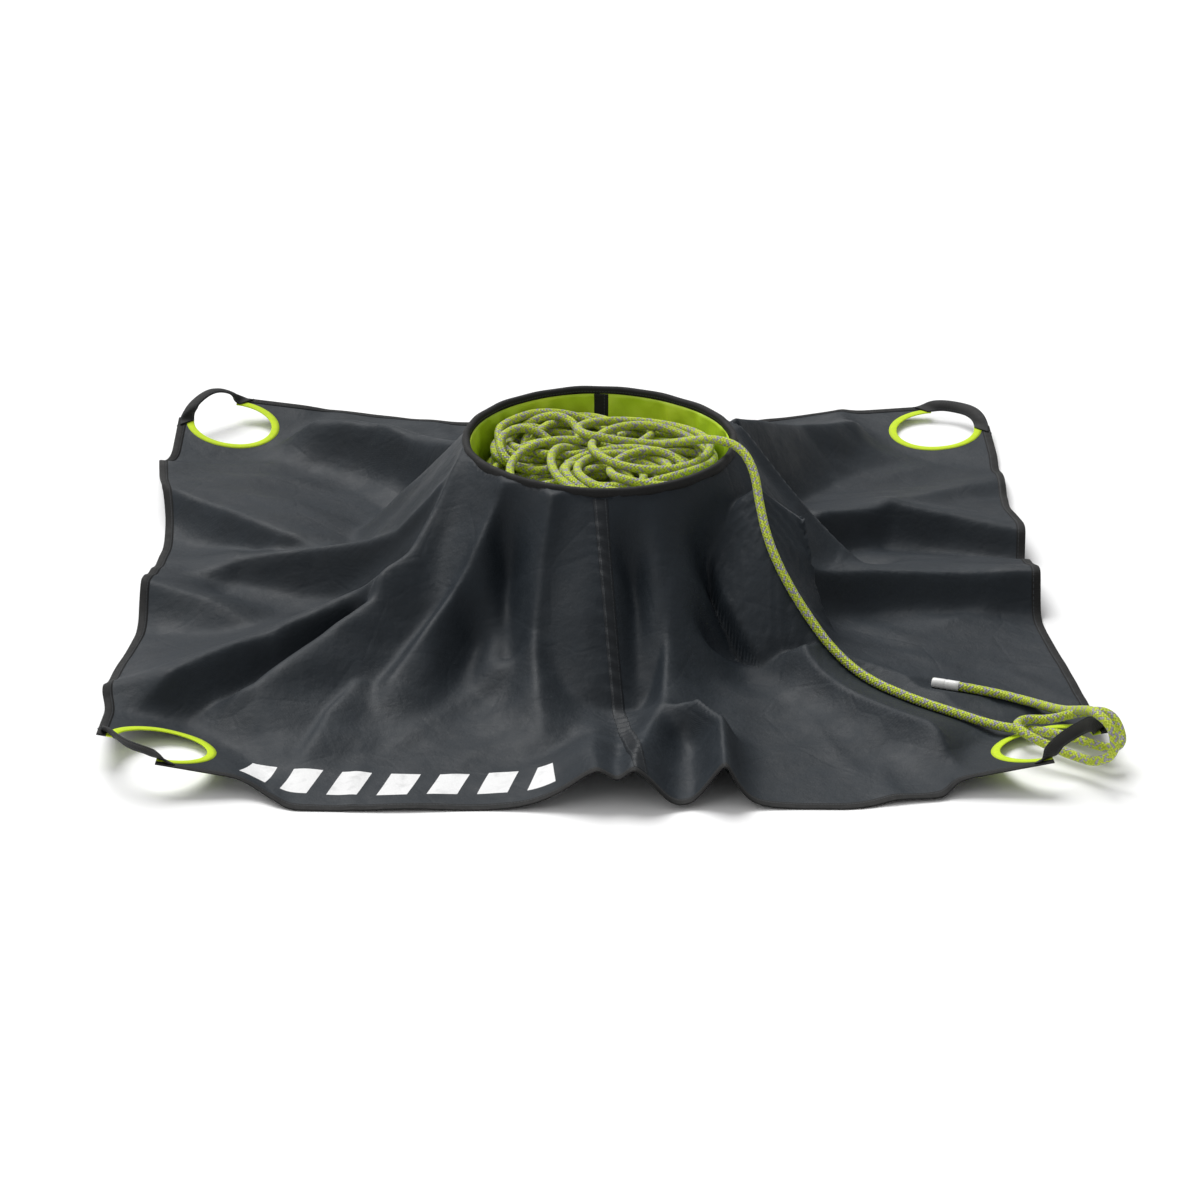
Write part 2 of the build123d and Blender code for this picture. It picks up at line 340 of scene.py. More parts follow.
THREAD = grey(0.045, (0.9, 1.0, 1.1))
FINISH = {
    "cloth": ground_cloth(False),
    "cloth_marked": ground_cloth(True),
    "hem": tape("hem_tape", grey(0.006), grey(0.013), [(0.0095, THREAD)]),
    "seam": tape("seam_strip", grey(0.010, (0.8, 1, 1.25)), grey(0.016, (0.8, 1, 1.25)),
                 [(0.0035, THREAD), (0.0165, THREAD)], ribs=500.0, rough=0.55),
    "lime_tape": tape("lime_tape", (0.40, 0.60, 0.006, 1), (0.66, 0.82, 0.02, 1),
                      [(0.0085, (0.55, 0.7, 0.05, 1))]),
    "strap": tape("strap_webbing", grey(0.010), grey(0.032), [(0.0025, THREAD), (0.0195, THREAD)],
                  ribs=420.0),
    "mouth": tape("mouth_tape", grey(0.006), grey(0.016), [(0.006, THREAD)], ribs=600.0),
    "lining": lining_cloth(),
    "rope": rope_sheath(),
    "sleeve": plain("white_shrink_sleeve", (0.70, 0.70, 0.69, 1), 0.38),
    "wire": plain("spring_wire", (0.42, 0.42, 0.43, 1), 0.32, Metallic=1.0),
    "crimp": plain("crimped_sleeve", (0.55, 0.55, 0.57, 1), 0.36, Metallic=1.0),
}


# ---- mesh helpers
def make_mesh(name, points, faces, finish, uv=None, smooth=True):
    """A piece from a point array and a face array, with its cut map where one is given."""
    mesh = bpy.data.meshes.new(name)
    points = np.ascontiguousarray(points, np.float32).reshape(-1, 3)
    faces = np.ascontiguousarray(faces, np.int32)
    count, sides = faces.shape
    mesh.vertices.add(len(points))
    mesh.vertices.foreach_set("co", points.ravel())
    mesh.loops.add(count * sides)
    mesh.loops.foreach_set("vertex_index", faces.ravel())
    mesh.polygons.add(count)
    mesh.polygons.foreach_set("loop_start", np.arange(0, count * sides, sides, dtype=np.int32))
    mesh.polygons.foreach_set("use_smooth", np.full(count, smooth))
    mesh.update(calc_edges=True)
    if uv is not None:
        layer = mesh.uv_layers.new(name="cut")
        layer.data.foreach_set("uv", np.ascontiguousarray(uv, np.float32).reshape(-1, 2).ravel())
    mesh.materials.append(FINISH[finish])
    mesh.validate()
    piece = bpy.data.objects.new(name, mesh)
    bpy.context.scene.collection.objects.link(piece)
    return piece


def grid_faces(rows, cols, wrap_rows=False, wrap_cols=False):
    """Quads of a grid of points, joined round where it wraps, and each corner's row and column."""
    i = np.arange(rows if wrap_rows else rows - 1)
    j = np.arange(cols if wrap_cols else cols - 1)
    i, j = np.meshgrid(i, j, indexing="ij")
    i, j = i.ravel(), j.ravel()
    row = np.stack([i, i + 1, i + 1, i], 1)
    col = np.stack([j, j, j + 1, j + 1], 1)
    return (row % rows) * cols + col % cols, row, col


def tube_piece(name, points, along, around, finish, closed_ends=True, wrap_rows=False):
    """A closed section carried along a path. points is rows by columns, columns round the section."""
    rows, cols = points.shape[:2]
    faces, row, col = grid_faces(rows, cols, wrap_rows, True)
    along = np.append(along, 2 * along[-1] - along[-2])
    around = np.append(around, 2 * around[-1] - around[-2])
    uv = np.stack([along[row], around[col]], -1)
    piece = make_mesh(name, points, faces, finish, uv)
    if closed_ends and not wrap_rows:
        bm = bmesh.new()
        bm.from_mesh(piece.data)
        bmesh.ops.holes_fill(bm, edges=[e for e in bm.edges if e.is_boundary], sides=0)
        bmesh.ops.recalc_face_normals(bm, faces=bm.faces)
        bm.to_mesh(piece.data)
        bm.free()
    return piece


def thicken(piece, thick, offset):
    """Gives a sheet its thickness."""
    solid = piece.modifiers.new("thickness", "SOLIDIFY")
    solid.thickness = thick
    solid.offset = offset


def stands_for(piece, node, body=None):
    """Hides the CAD node that a piece stands in for, and hangs the piece on its body when one is given."""
    if body:
        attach(piece, body)
    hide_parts(node)
    return piece


def run_along(points):
    """The length from a line's start to each of its points."""
    return np.concatenate([[0], np.cumsum(np.linalg.norm(np.diff(points, axis=0), axis=1))])


def round_axis(r, theta, z):
    """Points at radius r and angle theta round the bag's axis, at height z."""
    return np.stack([r * np.cos(theta), r * np.sin(theta), z], -1)


def frames_along(path):
    """Unit tangents and two unit crosswise directions that don't twist, along a path."""
    step = np.gradient(path, axis=0)
    tangent = step / np.linalg.norm(step, axis=1, keepdims=True)
    side = np.zeros_like(path)
    guess = np.array([0.3, 0.2, 0.9])
    last = guess - tangent[0] * (guess @ tangent[0])
    for i, t in enumerate(tangent):
        last = last - t * (last @ t)
        last = last / np.linalg.norm(last)
        side[i] = last
    return tangent, side, np.cross(tangent, side)


def rope_tube(name, path, cols):
    """A round rope along a path: ring = path + r (side cos a + up sin a)."""
    _, side, up = frames_along(path)
    angle = np.linspace(0, 2 * pi, cols, endpoint=False)
    ring = side[:, None] * np.cos(angle)[:, None] + up[:, None] * np.sin(angle)[:, None]
    points = path[:, None] + ring * (ROPE_D / 2)
    along = run_along(path)
    return tube_piece(name, points, along, angle / (2 * pi), "rope")


def spline_points(route, step):
    """The route's smooth NURBS line, as points a step apart."""
    data = bpy.data.curves.new("route", "CURVE")
    data.dimensions = "3D"
    data.resolution_u = 24
    spline = data.splines.new("NURBS")
    spline.points.add(len(route) - 1)
    for point, place in zip(spline.points, route):
        point.co = (*place, 1.0)
    spline.order_u = 3
    spline.use_endpoint_u = True
    holder = bpy.data.objects.new("route", data)
    bpy.context.scene.collection.objects.link(holder)
    mesh = bpy.data.meshes.new_from_object(holder)
    points = np.array([v.co for v in mesh.vertices], float)
    bpy.data.objects.remove(holder)
    bpy.data.meshes.remove(mesh)
    run = run_along(points)
    places = np.linspace(0, run[-1], int(round(run[-1] / step)) + 1)
    return np.stack([np.interp(places, run, points[:, k]) for k in range(3)], 1)


# ---- rope tail
tail_line = spline_points(TAIL_ROUTE, 0.0025)
tail = stands_for(rope_tube("rope_tail_line", tail_line, 16), "rope_tail", "ground")


# ---- the ground sheet's drape
def corner_frame(name):
    """A corner in plan: where its hems meet, the way out, and the way along its strap."""
    names = list(CORNERS)
    i = names.index(name)
    corner = np.array(CORNERS[name][:2])
    ahead = np.array(CORNERS[names[(i + 1) % 4]][:2]) - corner
    behind = np.array(CORNERS[names[i - 1]][:2]) - corner
    ahead /= np.linalg.norm(ahead)
    behind /= np.linalg.norm(behind)
    out = -(ahead + behind) / np.linalg.norm(ahead + behind)
    return corner, out, np.array([-out[1], out[0]])


def flap_place(name, flat):
    """Flat cut points near a corner, laid on its lifted flap: the same plane shape, turned up at the fold."""
    corner, out, along = corner_frame(name)
    way = np.array(WAY[name], float)
    flat_out = way / sqrt(2)
    flat_along = np.array([-flat_out[1], flat_out[0]])
    rel = flat - way * HALF
    past = rel @ flat_out + FLAP_L
    lift = radians(CORNERS[name][2])
    up = np.maximum(past, 0)
    reach = np.where(past > 0, past * cos(lift), past) - FLAP_L
    plan = corner + reach[..., None] * out + (rel @ flat_along)[..., None] * along
    high = up * sin(lift) + FLOOR_GAP + (SHEET_T - FLOOR_GAP) * np.clip(up / 0.05, 0, 1)
    return np.concatenate([plan, high[..., None]], -1)


def rim_height(theta):
    """The mouth's edge: nearly level, a little high at the back left, with slow waves."""
    return (0.2150 - 0.0016 * np.cos(theta) - 0.0010 * np.sin(theta) + 0.0006 * np.cos(3 * theta + 0.6)
            + 0.0004 * np.sin(5 * theta))


def rope_bed(plan, line):
    """At plan points: the height of the tail's underside, and how far it is to the tail in plan."""
    low = np.full(plan.shape[:-1], 1.0)
    near = np.full(plan.shape[:-1], 9.0)
    for place in line[line[:, 2] < 0.20][::3]:
        gap = np.hypot(plan[..., 0] - place[0], plan[..., 1] - place[1])
        low = np.where(gap < near, place[2], low)
        near = np.minimum(near, gap)
    return low - ROPE_D / 2 - CLOTH_T, near


def cut_grid(count):
    """The flat cut as a square grid: places, distance from its centre and angle."""
    side = np.linspace(-HALF, HALF, count)
    flat = np.stack(np.meshgrid(side, side, indexing="ij"), -1)
    return flat, np.linalg.norm(flat, axis=-1), np.arctan2(flat[..., 1], flat[..., 0])


# Folds: half-width behind the crest, half-width in front (right of the crest's way), then its points
# as plan place and height. A fold's front is steep where the cloth drops off it.
FOLDS = [
    (0.15, 0.026, [(-0.66, 0.262, 0.046), (-0.615, 0.228, 0.047), (-0.52, 0.14, 0.05),
        (-0.435, 0.07, 0.046), (-0.36, 0.015, 0.034)]),
    (0.085, 0.028, [(-0.59, -0.03, 0.012), (-0.49, 0.0, 0.038), (-0.385, -0.02, 0.062),
        (-0.27, -0.07, 0.1), (-0.215, -0.075, 0.15)]),
    (0.11, 0.035, [(-0.66, -0.07, 0.042), (-0.612, -0.083, 0.042), (-0.521, -0.125, 0.034),
        (-0.455, -0.165, 0.014)]),
    (0.09, 0.034, [(-0.64, -0.5, 0.055), (-0.582, -0.43, 0.056), (-0.5, -0.345, 0.058),
        (-0.428, -0.294, 0.062), (-0.35, -0.24, 0.078), (-0.28, -0.199, 0.105)]),
    (0.085, 0.036, [(-0.17, -0.03, 0.196), (-0.211, -0.114, 0.165), (-0.25, -0.185, 0.134),
        (-0.3, -0.235, 0.108), (-0.36, -0.303, 0.082), (-0.421, -0.381, 0.058), (-0.47, -0.44, 0.036),
        (-0.51, -0.49, 0.016)]),
    (0.07, 0.04, [(-0.545, 0.545, 0.04), (-0.442, 0.475, 0.05), (-0.319, 0.396, 0.074),
        (-0.214, 0.237, 0.14)]),
    (0.045, 0.02, [(-0.31, -0.375, 0.034), (-0.34, -0.44, 0.026), (-0.362, -0.53, 0.012)]),
    (0.055, 0.02, [(0.018, -0.15, 0.15), (0.05, -0.172, 0.112), (0.098, -0.215, 0.084),
        (0.086, -0.3, 0.06), (0.082, -0.38, 0.044), (0.08, -0.438, 0.034)]),
    (0.05, 0.034, [(0.08, -0.438, 0.036), (0.058, -0.527, 0.04), (0.042, -0.6, 0.048),
        (0.04, -0.68, 0.054)]),
    (0.02, 0.03, [(0.08, -0.448, 0.036), (0.122, -0.462, 0.054), (0.15, -0.504, 0.054),
        (0.152, -0.6, 0.05), (0.15, -0.68, 0.054)]),
    (0.13, 0.026, [(0.26, 0.06, 0.08), (0.33, 0.105, 0.062), (0.405, 0.142, 0.056), (0.489, 0.126, 0.05),
        (0.587, 0.083, 0.046), (0.64, 0.06, 0.046)]),
    (0.06, 0.06, [(0.4, 0.15, 0.05), (0.48, 0.235, 0.034), (0.56, 0.3, 0.022)]),
    (0.125, 0.02, [(0.235, -0.11, 0.082), (0.3, -0.09, 0.062), (0.375, -0.076, 0.054),
        (0.483, -0.072, 0.052), (0.586, -0.08, 0.056), (0.65, -0.084, 0.056)]),
    (0.08, 0.022, [(0.372, -0.03, 0.026), (0.33, -0.02, 0.066), (0.27, 0.004, 0.122), (0.2, 0.05, 0.182),
        (0.168, 0.07, 0.2)]),
    (0.036, 0.06, [(0.178, -0.01, 0.185), (0.2, -0.06, 0.15), (0.236, -0.15, 0.098),
        (0.268, -0.216, 0.066)]),
    (0.036, 0.022, [(0.16, -0.226, 0.056), (0.222, -0.229, 0.05), (0.262, -0.237, 0.046)]),
    (0.07, 0.034, [(0.24, -0.262, 0.056), (0.31, -0.35, 0.05), (0.371, -0.439, 0.044),
        (0.434, -0.519, 0.036), (0.494, -0.6, 0.036)]),
    (0.08, 0.045, [(0.19, 0.2, 0.16), (0.226, 0.255, 0.135), (0.29, 0.37, 0.08), (0.354, 0.45, 0.05),
        (0.43, 0.53, 0.03)]),
    (0.05, 0.04, [(-0.06, -0.176, 0.196), (-0.075, -0.24, 0.128), (-0.085, -0.31, 0.078),
        (-0.08, -0.4, 0.04), (-0.07, -0.48, 0.016)]),
    (0.05, 0.05, [(-0.01, -0.48, 0.014), (-0.01, -0.56, 0.034), (0.0, -0.68, 0.052)]),
    (0.06, 0.04, [(-0.12, -0.14, 0.196), (-0.17, -0.225, 0.12), (-0.22, -0.3, 0.075),
        (-0.262, -0.37, 0.04)]),
    (0.07, 0.05, [(0.02, 0.18, 0.19), (0.01, 0.3, 0.105), (-0.02, 0.42, 0.06), (-0.06, 0.6, 0.03)]),
]

# Hollows between folds: half-width, share of the height taken away, then the plan points along each
HOLLOWS = [
    (0.02, 0.34, [(0.034, -0.185), (0.046, -0.26), (0.048, -0.37)]),
    (0.03, 0.62, [(0.132, -0.142), (0.16, -0.2), (0.192, -0.29), (0.212, -0.37)]),
    (0.022, 0.36, [(-0.112, -0.16), (-0.12, -0.23), (-0.118, -0.31)]),
    (0.045, 0.62, [(-0.42, 0.38), (-0.3, 0.3), (-0.232, 0.19)]),
    (0.032, 0.62, [(-0.5, -0.05), (-0.4, -0.09), (-0.29, -0.15)]),
    (0.018, 0.5, [(-0.45, -0.385), (-0.39, -0.315), (-0.318, -0.235)]),
    (0.03, 0.7, [(0.262, -0.142), (0.4, -0.122), (0.59, -0.125)]),
    (0.028, 0.62, [(0.4, 0.096), (0.5, 0.078), (0.6, 0.042)]),
    (0.026, 0.55, [(0.236, 0.09), (0.31, 0.036), (0.372, 0.0)]),
    (0.02, 0.55, [(0.15, -0.262), (0.21, -0.262), (0.255, -0.268)]),
    (0.024, 0.6, [(0.104, -0.5), (0.1, -0.56), (0.094, -0.68)]),
    (0.026, 0.45, [(-0.16, -0.28), (-0.19, -0.38), (-0.2, -0.46)]),
]

# Where the ground sheet's four sides lie, each in two halves of its cut length
SIDES = {
    "left": (
        [(-0.628, 0.608), (-0.64, 0.5), (-0.646, 0.43), (-0.626, 0.262), (-0.611, 0.195), (-0.606, 0.11),
         (-0.608, 0.01)],
        [(-0.608, 0.01), (-0.61, -0.05), (-0.615, -0.092), (-0.613, -0.15), (-0.617, -0.205),
         (-0.626, -0.28), (-0.632, -0.42), (-0.623, -0.612)],
    ),
    "right": (
        [(0.578, 0.611), (0.574, 0.46), (0.584, 0.356), (0.577, 0.19), (0.588, 0.096), (0.583, 0.05),
         (0.584, -0.02)],
        [(0.584, -0.02), (0.59, -0.08), (0.588, -0.11), (0.594, -0.17), (0.61, -0.285), (0.624, -0.39),
         (0.635, -0.605)],
    ),
    "front": (
        [(-0.623, -0.612), (-0.516, -0.642), (-0.408, -0.65), (-0.276, -0.654), (-0.165, -0.651),
         (-0.09, -0.65), (0.0, -0.642), (0.052, -0.648)],
        [(0.052, -0.648), (0.092, -0.652), (0.128, -0.638), (0.171, -0.644), (0.2, -0.647),
         (0.313, -0.648), (0.36, -0.632), (0.477, -0.616), (0.635, -0.605)],
    ),
    "back": (
        [(-0.628, 0.608), (-0.54, 0.634), (-0.48, 0.632), (-0.398, 0.616), (-0.313, 0.6), (-0.228, 0.572),
         (-0.01, 0.56)],
        [(-0.01, 0.56), (0.2, 0.566), (0.3, 0.6), (0.4, 0.622), (0.5, 0.606), (0.578, 0.611)],
    ),
}


def smooth_step(t):
    """0 to 1 between t of 0 and 1, level at both ends."""
    t = np.clip(t, 0, 1)
    return t * t * (3 - 2 * t)


def side_line(name, place):
    """The plan place of a cut coordinate along one side: each half by its own length, softened."""
    found = []
    for half, low in zip(SIDES[name], (-HALF, 0.0)):
        half = np.array(half)
        far = run_along(half)
        found.append((low + far / far[-1] * HALF, half))
    knots = np.concatenate([found[0][0], found[1][0][1:]])
    points = np.concatenate([found[0][1], found[1][1][1:]])
    total = 0
    for shift in (-0.024, -0.012, 0.0, 0.012, 0.024):
        at = np.clip(place + shift * smooth_step((HALF - np.abs(place)) / 0.1), -HALF, HALF)
        total = total + np.stack([np.interp(at, knots, points[:, k]) for k in (0, 1)], -1) / 5
    return total


def beside(plan, a, b):
    """The share of the stretch from a to b nearest to each plan point, and the step from it to the point."""
    along = b - a
    t = np.clip(((plan - a) @ along) / (along @ along), 0, 1)
    return t, plan - (a + t[..., None] * along)


def fold_heights(plan):
    """For each fold, the height it gives at plan points: the crest's height times a bell across it,
    wide behind and narrow in front, and fading past its ends."""
    for behind, ahead, crest in FOLDS:
        crest = np.array(crest)
        best = np.full(plan.shape[:-1], 9.0)
        high = np.zeros(plan.shape[:-1])
        side = np.zeros(plan.shape[:-1])
        for a, b in zip(crest[:-1], crest[1:]):
            along = b[:2] - a[:2]
            t, off = beside(plan, a[:2], b[:2])
            gap = np.linalg.norm(off, axis=-1)
            near = gap < best
            high = np.where(near, a[2] + t * (b[2] - a[2]), high)
            right = (off[..., 0] * along[1] - off[..., 1] * along[0]) / np.linalg.norm(along)
            side = np.where(near, right / np.maximum(gap, 1e-9), side)
            best = np.minimum(best, gap)
        share = 0.5 + 0.5 * np.clip(side, -1, 1)
        width = behind + (ahead - behind) * smooth_step(share)
        yield high * np.exp(-(best / width) ** 1.45)


def hollow_share(plan):
    """The share of the height that is left by the hollows: one less a bell across each."""
    left = np.ones(plan.shape[:-1])
    for width, depth, line in HOLLOWS:
        line = np.array(line)
        best = np.full(plan.shape[:-1], 9.0)
        for a, b in zip(line[:-1], line[1:]):
            best = np.minimum(best, np.linalg.norm(beside(plan, a, b)[1], axis=-1))
        left = left * (1 - depth * np.exp(-(best / width) ** 2))
    return left


def small_wrinkles(plan, rng):
    """Short soft wrinkles: waves of a few millimetres under round windows, each with its own way."""
    total = np.zeros(plan.shape[:-1])
    for _ in range(WRINKLES):
        place = rng.uniform(-0.62, 0.62, 2)
        outward = np.arctan2(place[1], place[0]) + rng.normal(0, 0.45)
        along = np.array([np.cos(outward), np.sin(outward)])
        rel = plan - place
        run = rel @ along
        cross = rel[..., 0] * along[1] - rel[..., 1] * along[0]
        wide = rng.uniform(0.010, 0.026)
        far = rng.uniform(0.05, 0.14)
        bow = cross + 0.9 * run * run * rng.uniform(-1, 1)
        total += rng.uniform(0.0007, 0.0025) * np.exp(-(run / far) ** 2 - (bow / wide) ** 2)
    return total


FOLD_POWER = 6.0         # how sharply the highest of skirt and folds wins
CAP_W = 0.05             # the ring round the mouth where the cloth stays under the rim
WRINKLES = 220
WRINKLE_SEED = 5


def cloth_height(plan, line):
    """Height of the sheet over plan points: the power mean of skirt and folds, times the hollows' share,
    plus wrinkles, then held under the rim and against the rope's bed."""
    rho = np.linalg.norm(plan, axis=-1)
    theta = np.arctan2(plan[..., 1], plan[..., 0])
    foot = 0.375 + 0.03 * np.cos(theta + 2.2) + 0.014 * np.sin(3 * theta + 0.7)
    down = np.clip((rho - HOLE_R) / (foot - HOLE_R), 0, 1)
    pleat = 0.050 * np.sin(9 * theta + 1.1 * np.sin(2 * theta)) + 0.030 * np.sin(17 * theta + 0.6)
    pleat = pleat * down * (1 - down)
    skirt = (rim_height(theta) - 0.004) * (1 - down) ** (1.22 + pleat * 6)
    total = np.maximum(skirt, 1e-6) ** FOLD_POWER
    for high in fold_heights(plan):
        total = total + np.maximum(high, 0) ** FOLD_POWER
    height = total ** (1 / FOLD_POWER)
    height = height * (1 + (hollow_share(plan) - 1) * smooth_step((rho - HOLE_R) / 0.06))
    cap = rim_height(theta) - 0.25 * np.clip(rho - HOLE_R, 0, CAP_W)
    height = np.where(rho < HOLE_R + CAP_W, np.minimum(height, cap), height)
    loose = 1 - np.exp(-np.clip(rho - HOLE_R, 0, None) / 0.03)
    height += small_wrinkles(plan, np.random.default_rng(WRINKLE_SEED)) * loose
    rumple = 0.0020 * np.sin(31 * plan[..., 0] + 9 * np.sin(7 * plan[..., 1])) * np.sin(23 * plan[..., 1] + 4)
    height += (rumple + 0.0022) * loose
    bed, near = rope_bed(plan, line)
    away = np.clip(near - 0.004, 0, None)
    height = np.where(near < 0.09, np.minimum(height, bed + 0.42 * away), height)
    height = np.where(near < 0.07, np.maximum(height, bed - 0.85 * away), height)
    return np.maximum(height, FLOOR_GAP)


DRAPE_GRID = 289         # points along each side of the drape
FLAP_HOLD = 0.285        # from a corner's tip, where its flap's shape begins


def drape():
    """The sheet as it lies: each cut point goes out along its own ray, to the height there."""
    flat, r, theta = cut_grid(DRAPE_GRID)
    size = np.maximum(np.abs(flat[..., 0]), np.abs(flat[..., 1]))
    edge = flat * (HALF / np.maximum(size, 1e-9))[..., None]
    across = np.abs(flat[..., 0]) >= np.abs(flat[..., 1])
    rim = np.zeros(flat.shape)
    for name, mask, place in (("left", across & (flat[..., 0] < 0), -edge[..., 1]),
                              ("right", across & (flat[..., 0] > 0), -edge[..., 1]),
                              ("front", ~across & (flat[..., 1] < 0), edge[..., 0]),
                              ("back", ~across & (flat[..., 1] > 0), edge[..., 0])):
        rim[mask] = side_line(name, place[mask])
    inner = HOLE_R * np.stack([np.cos(theta), np.sin(theta)], -1)
    full = np.linalg.norm(edge, axis=-1) - HOLE_R
    share = np.clip((r - HOLE_R) / full, 0, 1)
    share = 0.72 * share + 0.28 * share ** 2
    plan = inner + (rim - inner) * share[..., None]
    cloth = np.concatenate([plan, cloth_height(plan, tail_line)[..., None]], -1)
    for name, way in WAY.items():
        away = np.linalg.norm(flat - np.array(way) * HALF, axis=-1)
        hold = smooth_step((FLAP_HOLD - away) / 0.115)[..., None]
        cloth += (flap_place(name, flat) - cloth) * hold
    pucker = np.sin(flat[..., 1] * 300.0 + 2.0 * np.sin(flat[..., 1] * 47.0))
    pucker = pucker * np.exp(-(flat[..., 0] / 0.017) ** 2)
    cloth[..., 2] += 0.0014 * pucker * smooth_step((r - HOLE_R) / 0.03) * (cloth[..., 2] > 0.004)
    return np.where((r > HOLE_R)[..., None], cloth, round_axis(r, theta, rim_height(theta)))


CLOTH = drape()


def cloth_at(flat):
    """The draped place of flat cut points, by a cubic through the grid both ways."""
    count = CLOTH.shape[0]
    place = (np.asarray(flat, float) + HALF) / (2 * HALF) * (count - 1)
    cell = np.clip(np.floor(place).astype(int), 1, count - 3)
    part = place - cell

    def weights(t):
        return np.stack([((-t + 2) * t - 1) * t / 2, ((3 * t - 5) * t * t + 2) / 2,
                         ((-3 * t + 4) * t + 1) * t / 2, (t - 1) * t * t / 2], -1)

    wu, wv = weights(part[..., 0]), weights(part[..., 1])
    found = 0
    for i in range(4):
        for j in range(4):
            value = CLOTH[cell[..., 0] + i - 1, cell[..., 1] + j - 1]
            found = found + wu[..., i, None] * wv[..., j, None] * value
    return found


def cloth_normal(flat, step=0.004):
    """The draped cloth's upward normal at flat cut points."""
    flat = np.asarray(flat, float)
    du = cloth_at(flat + [step, 0]) - cloth_at(flat - [step, 0])
    dv = cloth_at(flat + [0, step]) - cloth_at(flat - [0, step])
    normal = np.cross(du, dv)
    return normal / (np.linalg.norm(normal, axis=-1, keepdims=True) + 1e-12)


# ---- sheet panels
def cutout_centre(name):
    """Centre of a corner's round cut-out, in the flat cut."""
    return np.array(WAY[name], float) * (HALF - CORNER_R)


def strap_line_gap(name, flat):
    """How far flat points lie past the line between a strap's roots."""
    way = np.array(WAY[name], float) / sqrt(2)
    return (flat - cutout_centre(name)) @ way - CUTOUT_R / sqrt(2)


def keep_distance(flat):
    """Signed distances to each cut edge, positive on the cloth, and the way that they grow."""
    r = np.linalg.norm(flat, axis=-1)
    edges = [(r - HOLE_R, flat / (r[..., None] + 1e-9))]
    for name, way in WAY.items():
        rel = flat - cutout_centre(name)
        far = np.linalg.norm(rel, axis=-1)
        edges.append((far - CUTOUT_R, rel / (far[..., None] + 1e-9)))
        out = np.broadcast_to(-np.array(way, float) / sqrt(2), flat.shape)
        edges.append((-strap_line_gap(name, flat), out))
    return edges


PANEL_STEP = 0.005


def panel(name, low, high, node, finish):
    """One half of the sheet: the flat cut's grid with points near a cut edge moved onto it."""
    step = PANEL_STEP
    us = np.linspace(low, high, int(round((high - low) / step)) + 1)
    vs = np.linspace(-HALF, HALF, int(round(2 * HALF / step)) + 1)
    flat = np.stack(np.meshgrid(us, vs, indexing="ij"), -1)
    for far, out in keep_distance(flat):
        near = np.abs(far) < 0.55 * step
        flat = flat - np.where(near, far, 0)[..., None] * out
    good = np.ones(flat.shape[:2], bool)
    for far, _ in keep_distance(flat):
        good &= far > -1e-4
    faces, row, col = grid_faces(len(us), len(vs))
    kept = good.ravel()[faces].all(1)
    faces, row, col = faces[kept], row[kept], col[kept]
    uv = flat[row, col]
    used, again = np.unique(faces, return_inverse=True)
    points = cloth_at(flat).reshape(-1, 3)[used]
    piece = make_mesh(name, points, again.reshape(faces.shape), finish, uv)
    thicken(piece, CLOTH_T, 0.0)
    return stands_for(piece, node)


left_panel = panel("sheet_left_cloth", -HALF, 0.0, "sheet_left", "cloth_marked")
right_panel = panel("sheet_right_cloth", 0.0, HALF, "sheet_right", "cloth")


# ---- tapes on the sheet
FOLDED_TAPE = [(1.0, 0.9), (0.5, 1.15), (0.12, 1.1), (-0.02, 0.75), (-0.05, 0.0), (-0.02, -0.75),
               (0.12, -0.9), (0.5, -0.9), (1.0, -0.8)]


def tape_on_cloth(name, path, inward, width, section, finish):
    """A tape that follows a flat path. Its section is in shares of its width inwards and thickness up."""
    path, inward = np.asarray(path, float), np.asarray(inward, float)
    across = np.array([s[0] for s in section]) * width
    up = np.array([s[1] for s in section]) * TAPE_T
    flat = path[:, None] + inward[:, None] * across[None, :, None]
    safe = np.clip(flat, -HALF, HALF)
    over = flat - safe
    points = cloth_at(safe) + cloth_normal(safe) * up[None, :, None]
    out_way = cloth_at(np.clip(path, -HALF, HALF)) - cloth_at(np.clip(path + inward * 0.004, -HALF, HALF))
    out_way /= np.linalg.norm(out_way, axis=-1, keepdims=True) + 1e-12
    spill = np.linalg.norm(over, axis=-1)
    points = points + out_way[:, None] * spill[..., None]
    along = run_along(path)
    return tube_piece(name, points, along, across, finish)


def straight(a, b, step=0.004):
    """Flat points from a to b."""
    a, b = np.array(a, float), np.array(b, float)
    count = int(np.linalg.norm(b - a) / step) + 1
    return a + (b - a) * np.linspace(0, 1, count)[:, None]


def hems():
    """A binding folded over each side's edge, from one strap's root to the next."""
    root = HALF - CORNER_R
    sides = {"front": ((-root, -HALF), (root, -HALF), (0, 1)), "back": ((-root, HALF), (root, HALF), (0, -1)),
             "left": ((-HALF, -root), (-HALF, root), (1, 0)), "right": ((HALF, -root), (HALF, root), (-1, 0))}
    made = []
    for side, (a, b, inward) in sides.items():
        path = straight(a, b)
        piece = tape_on_cloth("hem_" + side + "_tape", path, np.tile(inward, (len(path), 1)), HEM_W,
                              FOLDED_TAPE, "hem")
        made.append(stands_for(piece, "hem_" + side, "ground"))
    return made


def cutout_bindings():
    """A lime binding round three quarters of each cut-out."""
    for name, way in WAY.items():
        mid = np.arctan2(-way[1], -way[0])
        angle = np.linspace(mid - 0.75 * pi, mid + 0.75 * pi, 110)
        out = np.stack([np.cos(angle), np.sin(angle)], 1)
        path = cutout_centre(name) + CUTOUT_R * out
        piece = tape_on_cloth("cutout_tape_" + name, path, out, CUTOUT_TAPE_W, FOLDED_TAPE, "lime_tape")
        stands_for(piece, "cutout_binding_" + name, "ground")


